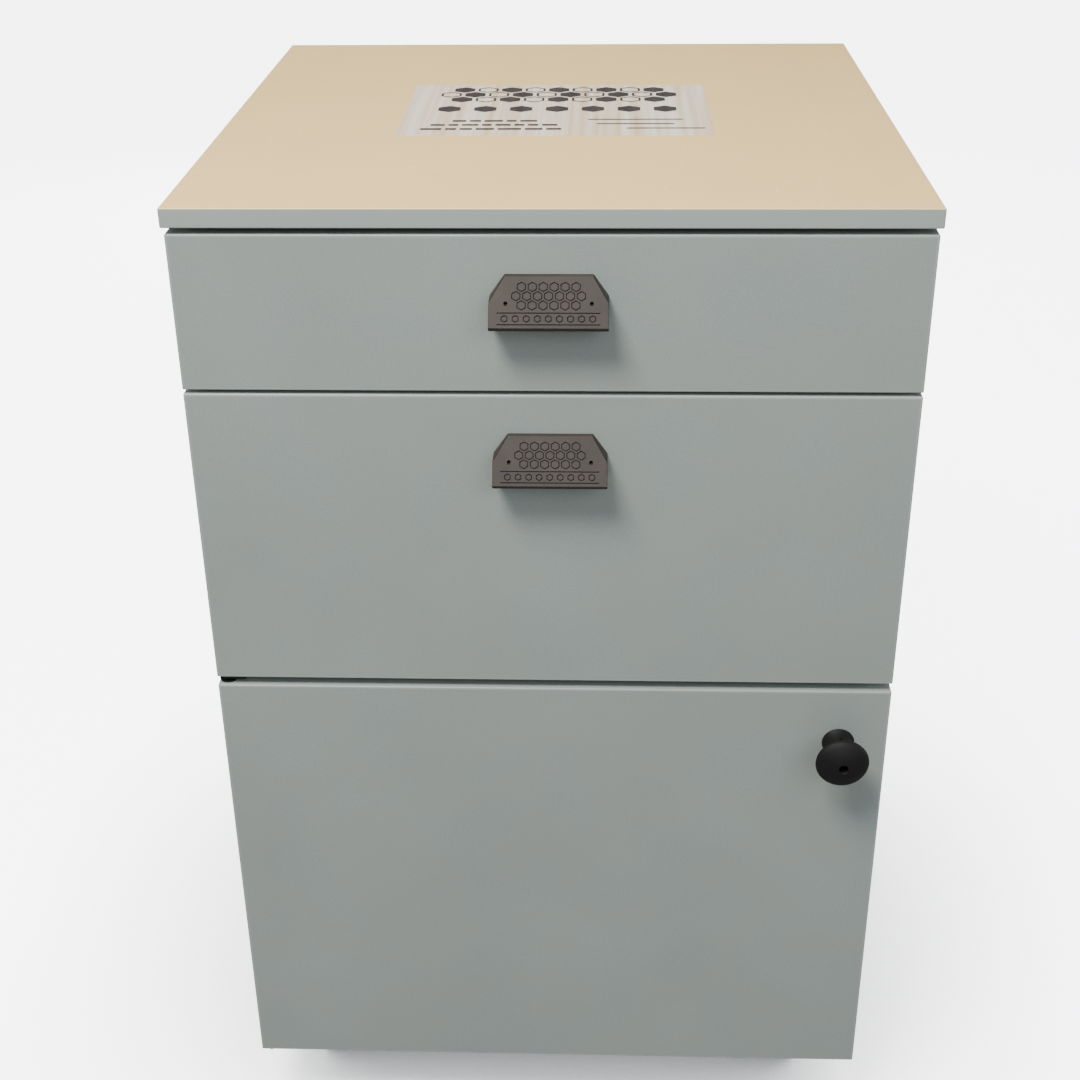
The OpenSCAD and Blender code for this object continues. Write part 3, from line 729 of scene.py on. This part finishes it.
def engraving_tool():
    tool = bmesh.new()
    stamp_comb(tool, y=-6.4, radius=3.1, line=GROOVE, rows=(6, 7, 6), solid=False)
    for y in BORDER_LINES:
        stamp_bar(tool, 0, y, width=60, height=GROOVE)
    stamp_row(tool, BORDER_MIDDLE, count=9, pitch=6.4, radius=2.3, line=GROOVE)
    pushed_out(tool, (0, 0, 2 * ENGRAVING))
    laid = Matrix((Vector((1, 0, 0)), -slope_down, slope_out)).transposed().to_4x4()
    laid.translation = slope_start - slope_out * ENGRAVING
    bmesh.ops.transform(tool, matrix=laid, verts=tool.verts)
    return tool


def in_groove(face):
    # Walls and floors of the grooves lie a little under the slope, clear of its rounded edges. These
    # faces get the painted shade.
    middle = face.calc_center_median() - slope_start
    under = -middle.dot(slope_out)
    deep_enough = GROOVE_MARGIN < under < ENGRAVING + GROOVE_MARGIN
    inside = GROOVES_START < middle.dot(slope_down) < GROOVES_END and abs(middle.x) < GROOVES_HALF
    return deep_enough and inside


pull_bm = cut(pull_shell(), engraving_tool())
# Groove faces take the second finish, the painted shade
for face in filter(in_groove, pull_bm.faces):
    face.material_index = 1
bmesh.ops.scale(pull_bm, vec=(MM, MM, MM), verts=pull_bm.verts)
for drawer in drawers:
    low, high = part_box(f"{drawer}_pull")
    placed = pull_bm.copy()
    bmesh.ops.translate(placed, vec=((low.x + high.x) / 2, high.y, high.z), verts=placed.verts)
    finished(placed, f"{drawer}_printed_pull", [pull_plastic, groove_painted_shade], f"{drawer}_drawer",
             [f"{drawer}_pull"], crease=30)
pull_bm.free()

# %% [markdown]
# ## The knob
#
# The knob is turned in shape: a foot, a waist and a domed head with a hole in its middle. So its
# profile is drawn once and spun about the spindle's axis. The profile runs round the spindle's bore as
# well, which makes the spun body closed. A grub screw's hole is cut in the waist afterwards.

# %% Spin the knob
KNOB_RISE = 32
KNOB_RADIUS = 17.5
RIM_LOW = 22
WAIST = 9
WAIST_RADIUS = 8
FOOT_RADIUS = 10.75
HEAD_FLARE = 7.5
HOLE = 3
DOME = 26.81
BORE = 4.05
BORE_END = 20.3
GRUB_BORE = 3.1
GRUB_LEAN = math.radians(13)


def neck_radius(rise):
    if rise < WAIST:
        return WAIST_RADIUS + (FOOT_RADIUS - WAIST_RADIUS) * ((WAIST - rise) / WAIST) ** 2
    return WAIST_RADIUS + HEAD_FLARE * ((rise - WAIST) / (RIM_LOW - WAIST)) ** 2


def dome_rise(radius):
    return KNOB_RISE + math.sqrt(DOME ** 2 - radius ** 2) - math.sqrt(DOME ** 2 - HOLE ** 2)


profile = [(BORE, 0.3), (10.4, 0.3), (FOOT_RADIUS, 0.6)]
profile += [(neck_radius(rise), rise) for rise in range(2, RIM_LOW)]
profile += [(15.5, RIM_LOW), (16.4, RIM_LOW + 0.2), (17.1, RIM_LOW + 0.8)]
profile += [(KNOB_RADIUS, RIM_LOW + 1.8), (KNOB_RADIUS, RIM_LOW + 2.6), (17.25, RIM_LOW + 3.2)]
profile += [(radius, dome_rise(radius)) for radius in (16.5, 15, 13, 11, 9, 7, 5, 3.9, 3.4)]
profile += [(HOLE, KNOB_RISE - 0.45), (HOLE, BORE_END), (BORE, BORE_END)]

knob_bm = bmesh.new()
rim = [knob_bm.verts.new((radius, -rise, 0)) for radius, rise in profile]
outline = [knob_bm.edges.new(pair) for pair in zip(rim, rim[1:] + rim[:1])]
bmesh.ops.spin(knob_bm, geom=rim + outline, cent=(0, 0, 0), axis=(0, 1, 0), angle=math.tau, steps=72,
               use_merge=True)
bmesh.ops.remove_doubles(knob_bm, verts=knob_bm.verts, dist=0.001)
bmesh.ops.recalc_face_normals(knob_bm, faces=knob_bm.faces)
grub_way = Vector((math.sin(GRUB_LEAN), 0, math.cos(GRUB_LEAN)))
waist_point = Vector((0, -WAIST, 0))
bore_end = waist_point + grub_way * 12
knob_bm = cut(knob_bm, rod(GRUB_BORE, waist_point, bore_end, grub_way, 24))
mouth = [waist_point + grub_way * distance for distance in (7, 10)]
knob_bm = cut(knob_bm, rod(2.9, *mouth, grub_way, 24, far_diameter=5.5))
bmesh.ops.scale(knob_bm, vec=(MM, MM, MM), verts=knob_bm.verts)
bmesh.ops.translate(knob_bm, vec=(latch.x, door_low.y, latch.z), verts=knob_bm.verts)
finished(knob_bm, "printed_knob", [knob_plastic], "knob_and_cam", ["knob"],
         crease=30)

# %% [markdown]
# ## The film on the top
#
# A thin printed film is stuck on the top, in two panes that meet in the middle. It is a shade paler
# than the board, lets it through, and shows the drawn-out streaks that such film has. The print on it
# is a honeycomb over plain bars, a neutral stand-in that says nothing.
# The panes are real thin bodies, so that their edges catch the light as the real ones do.

# %% The film's finishes
def clear_film():
    material, place = begin_finish("clear_film")
    drawn = noise(place, 160, 3, (1, 0.02, 1))
    wide = noise(place, 30, 2, (1, 0.05, 1))
    streak = between(0.6 * drawn + 0.4 * wide, 0.38, 0.66)
    return end_finish(material, place, {
        "Base Color": mix(streak, paint(242, 222, 194), paint(255, 250, 236)),
        "Alpha": 0.44 + 0.36 * streak,
        "Roughness": 0.22 + 0.2 * drawn,
        "Specular IOR Level": 0.25,
    })


def film_ink():
    material, place = begin_finish("film_ink")
    drawn = noise(place, 220, 3, (1, 0.02, 1))
    return end_finish(material, place, {
        "Base Color": mix(drawn, paint(46, 42, 42), paint(80, 74, 74)),
        "Alpha": 0.84 + 0.16 * drawn,
        "Roughness": 0.35 + 0.2 * drawn,
        "Specular IOR Level": 0.15,
    })


# %% Lay the film and its print
FILM_WIDTH = 210
FILM_DEPTH = 146
FILM_CENTRE = (-1.5, 22)
FILM_LIFT, FILM_THICKNESS = 0.03, 0.12
INK_LIFT, INK_THICKNESS = 0.2, 0.05
SEAM = 0.4
top_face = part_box("top_panel")[1].z


def lay_on_top(bm, lift, thickness, name, finish):
    pushed_out(bm, (0, 0, thickness))
    bmesh.ops.translate(bm, vec=(*FILM_CENTRE, lift), verts=bm.verts)
    bmesh.ops.scale(bm, vec=(MM, MM, MM), verts=bm.verts)
    bmesh.ops.translate(bm, vec=(0, 0, top_face), verts=bm.verts)
    finished(bm, name, [finish], "cabinet")


film_finish = clear_film()
pane_width = FILM_WIDTH / 2 - SEAM / 2
for side, name in ((-1, "left_film_pane"), (1, "right_film_pane")):
    pane = bmesh.new()
    stamp_bar(pane, side * (FILM_WIDTH / 4 + SEAM / 4), 0, pane_width, FILM_DEPTH)
    lay_on_top(pane, FILM_LIFT, FILM_THICKNESS, name, film_finish)

ink = film_ink()
motif = bmesh.new()
stamp_comb(motif, y=58, radius=8.4, line=1.6, rows=(9, 10, 9), solid=True)
stamp_row(motif, y=0, count=7, pitch=25, radius=9)
lay_on_top(motif, INK_LIFT, INK_THICKNESS, "film_motif", ink)

BAR_WIDTHS = (6, 16)
BAR_GAP = 2.5
BROKEN_TOP, BROKEN_STEP, BROKEN_HEIGHT = -34, 11, 4.5
PLAIN_TOP, PLAIN_STEP, PLAIN_HEIGHT = -30, 12, 2.4
broken_rows = ((-70, -12), (-84, 0), (-90, 4))
plain_rows = ((22, 86), (28, 80), (48, 100))
lines = bmesh.new()
random.seed(7)
for row, (left, right) in enumerate(broken_rows):
    x = left
    while x < right:
        width = random.uniform(*BAR_WIDTHS)
        stamp_bar(lines, x + width / 2, BROKEN_TOP - row * BROKEN_STEP, width, BROKEN_HEIGHT)
        x += width + BAR_GAP
for row, (left, right) in enumerate(plain_rows):
    middle = (left + right) / 2
    stamp_bar(lines, middle, PLAIN_TOP - row * PLAIN_STEP, right - left, PLAIN_HEIGHT)
lay_on_top(lines, INK_LIFT, INK_THICKNESS, "film_lines", ink)

# %% [markdown]
# ## Casters
#
# Each caster is a swivelling hood with two wheels. A wheel is a moulded disc with a softer tyre, so
# its profile is spun about the axle, and the faces far from the axle take the tyre's finish.
# Six shallow pockets in its face make the turning visible.

# %% Spin a wheel and place all eight
corners = ("front_left", "front_right", "rear_left", "rear_right")
POCKETS = 6
POCKET_WIDTH = 6.4
POCKET_RING = 13.6
TYRE_START = 20.5
hub = [(11.3, 0), (11.3, 3.05), (0, 3.05)]
tread = [(0, 22.8), (0.3, 23.8), (1.0, 24.6), (2.2, 25), (7, 25), (11.8, 25), (13.0, 24.6), (13.7, 23.8)]
face_side = [(14, 22.8), (14, 19.4), (13.4, 18.7), (12.6, 18.2), (12.6, 9), (13.0, 8.2), (13.8, 7.6)]
wheel_profile = hub + tread + face_side + [(14, 6.6), (14, 0)]
wheel = bmesh.new()
spokes = [wheel.verts.new((x, 0, radius)) for x, radius in wheel_profile]
rims = [wheel.edges.new(pair) for pair in zip(spokes, spokes[1:])]
bmesh.ops.spin(wheel, geom=spokes + rims, cent=(0, 0, 0), axis=(1, 0, 0), angle=math.tau, steps=64,
               use_merge=True)
bmesh.ops.remove_doubles(wheel, verts=wheel.verts, dist=0.001)
bmesh.ops.recalc_face_normals(wheel, faces=wheel.faces)
for index in range(POCKETS):
    turn = index * math.tau / POCKETS
    pocket = Vector((0, math.sin(turn) * POCKET_RING, math.cos(turn) * POCKET_RING))
    pocket_ends = [pocket + Vector((x, 0, 0)) for x in (11.8, 15)]
    wheel = cut(wheel, rod(POCKET_WIDTH, *pocket_ends, (1, 0, 0), 20))
for face in wheel.faces:
    middle = face.calc_center_median()
    face.material_index = 1 if math.hypot(middle.y, middle.z) > TYRE_START else 0
bmesh.ops.scale(wheel, vec=(MM, MM, MM), verts=wheel.verts)

for corner in corners:
    for side in ("left", "right"):
        node = f"{corner}_caster_{side}_wheel"
        low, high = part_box(node)
        placed = wheel.copy()
        inner_x = low.x
        if side == "left":
            bmesh.ops.scale(placed, vec=(-1, 1, 1), verts=placed.verts)
            bmesh.ops.reverse_faces(placed, faces=placed.faces)
            inner_x = high.x
        bmesh.ops.translate(placed, vec=(inner_x, (low.y + high.y) / 2, (low.z + high.z) / 2),
                            verts=placed.verts)
        finished(placed, f"{corner}_{side}_caster_wheel", [caster_black, tyre_grey],
                 f"{corner}_{side}_wheel", [node])
wheel.free()

# %% [markdown]
# ## Parts that keep their CAD shape
#
# Runners, screws, pins, brackets and the hidden boards are already the right shape, so they only get
# their finishes. Each name says what the part is made of.

# %% Give the CAD parts their finishes
def finish_for(node):
    if node.endswith("_panel"):
        return grey_melamine
    if "caster_hood" in node:
        return caster_black
    if node == "pivot_bushes":
        return black_nylon
    if "pivot" in node:
        return black_oxide
    return zinc_plating


kept = [name for name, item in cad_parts.items() if not item.hide_render]
for name in kept:
    for material_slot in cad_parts[name].material_slots:
        material_slot.material = finish_for(name)
print(len(kept), "CAD parts keep their shape")
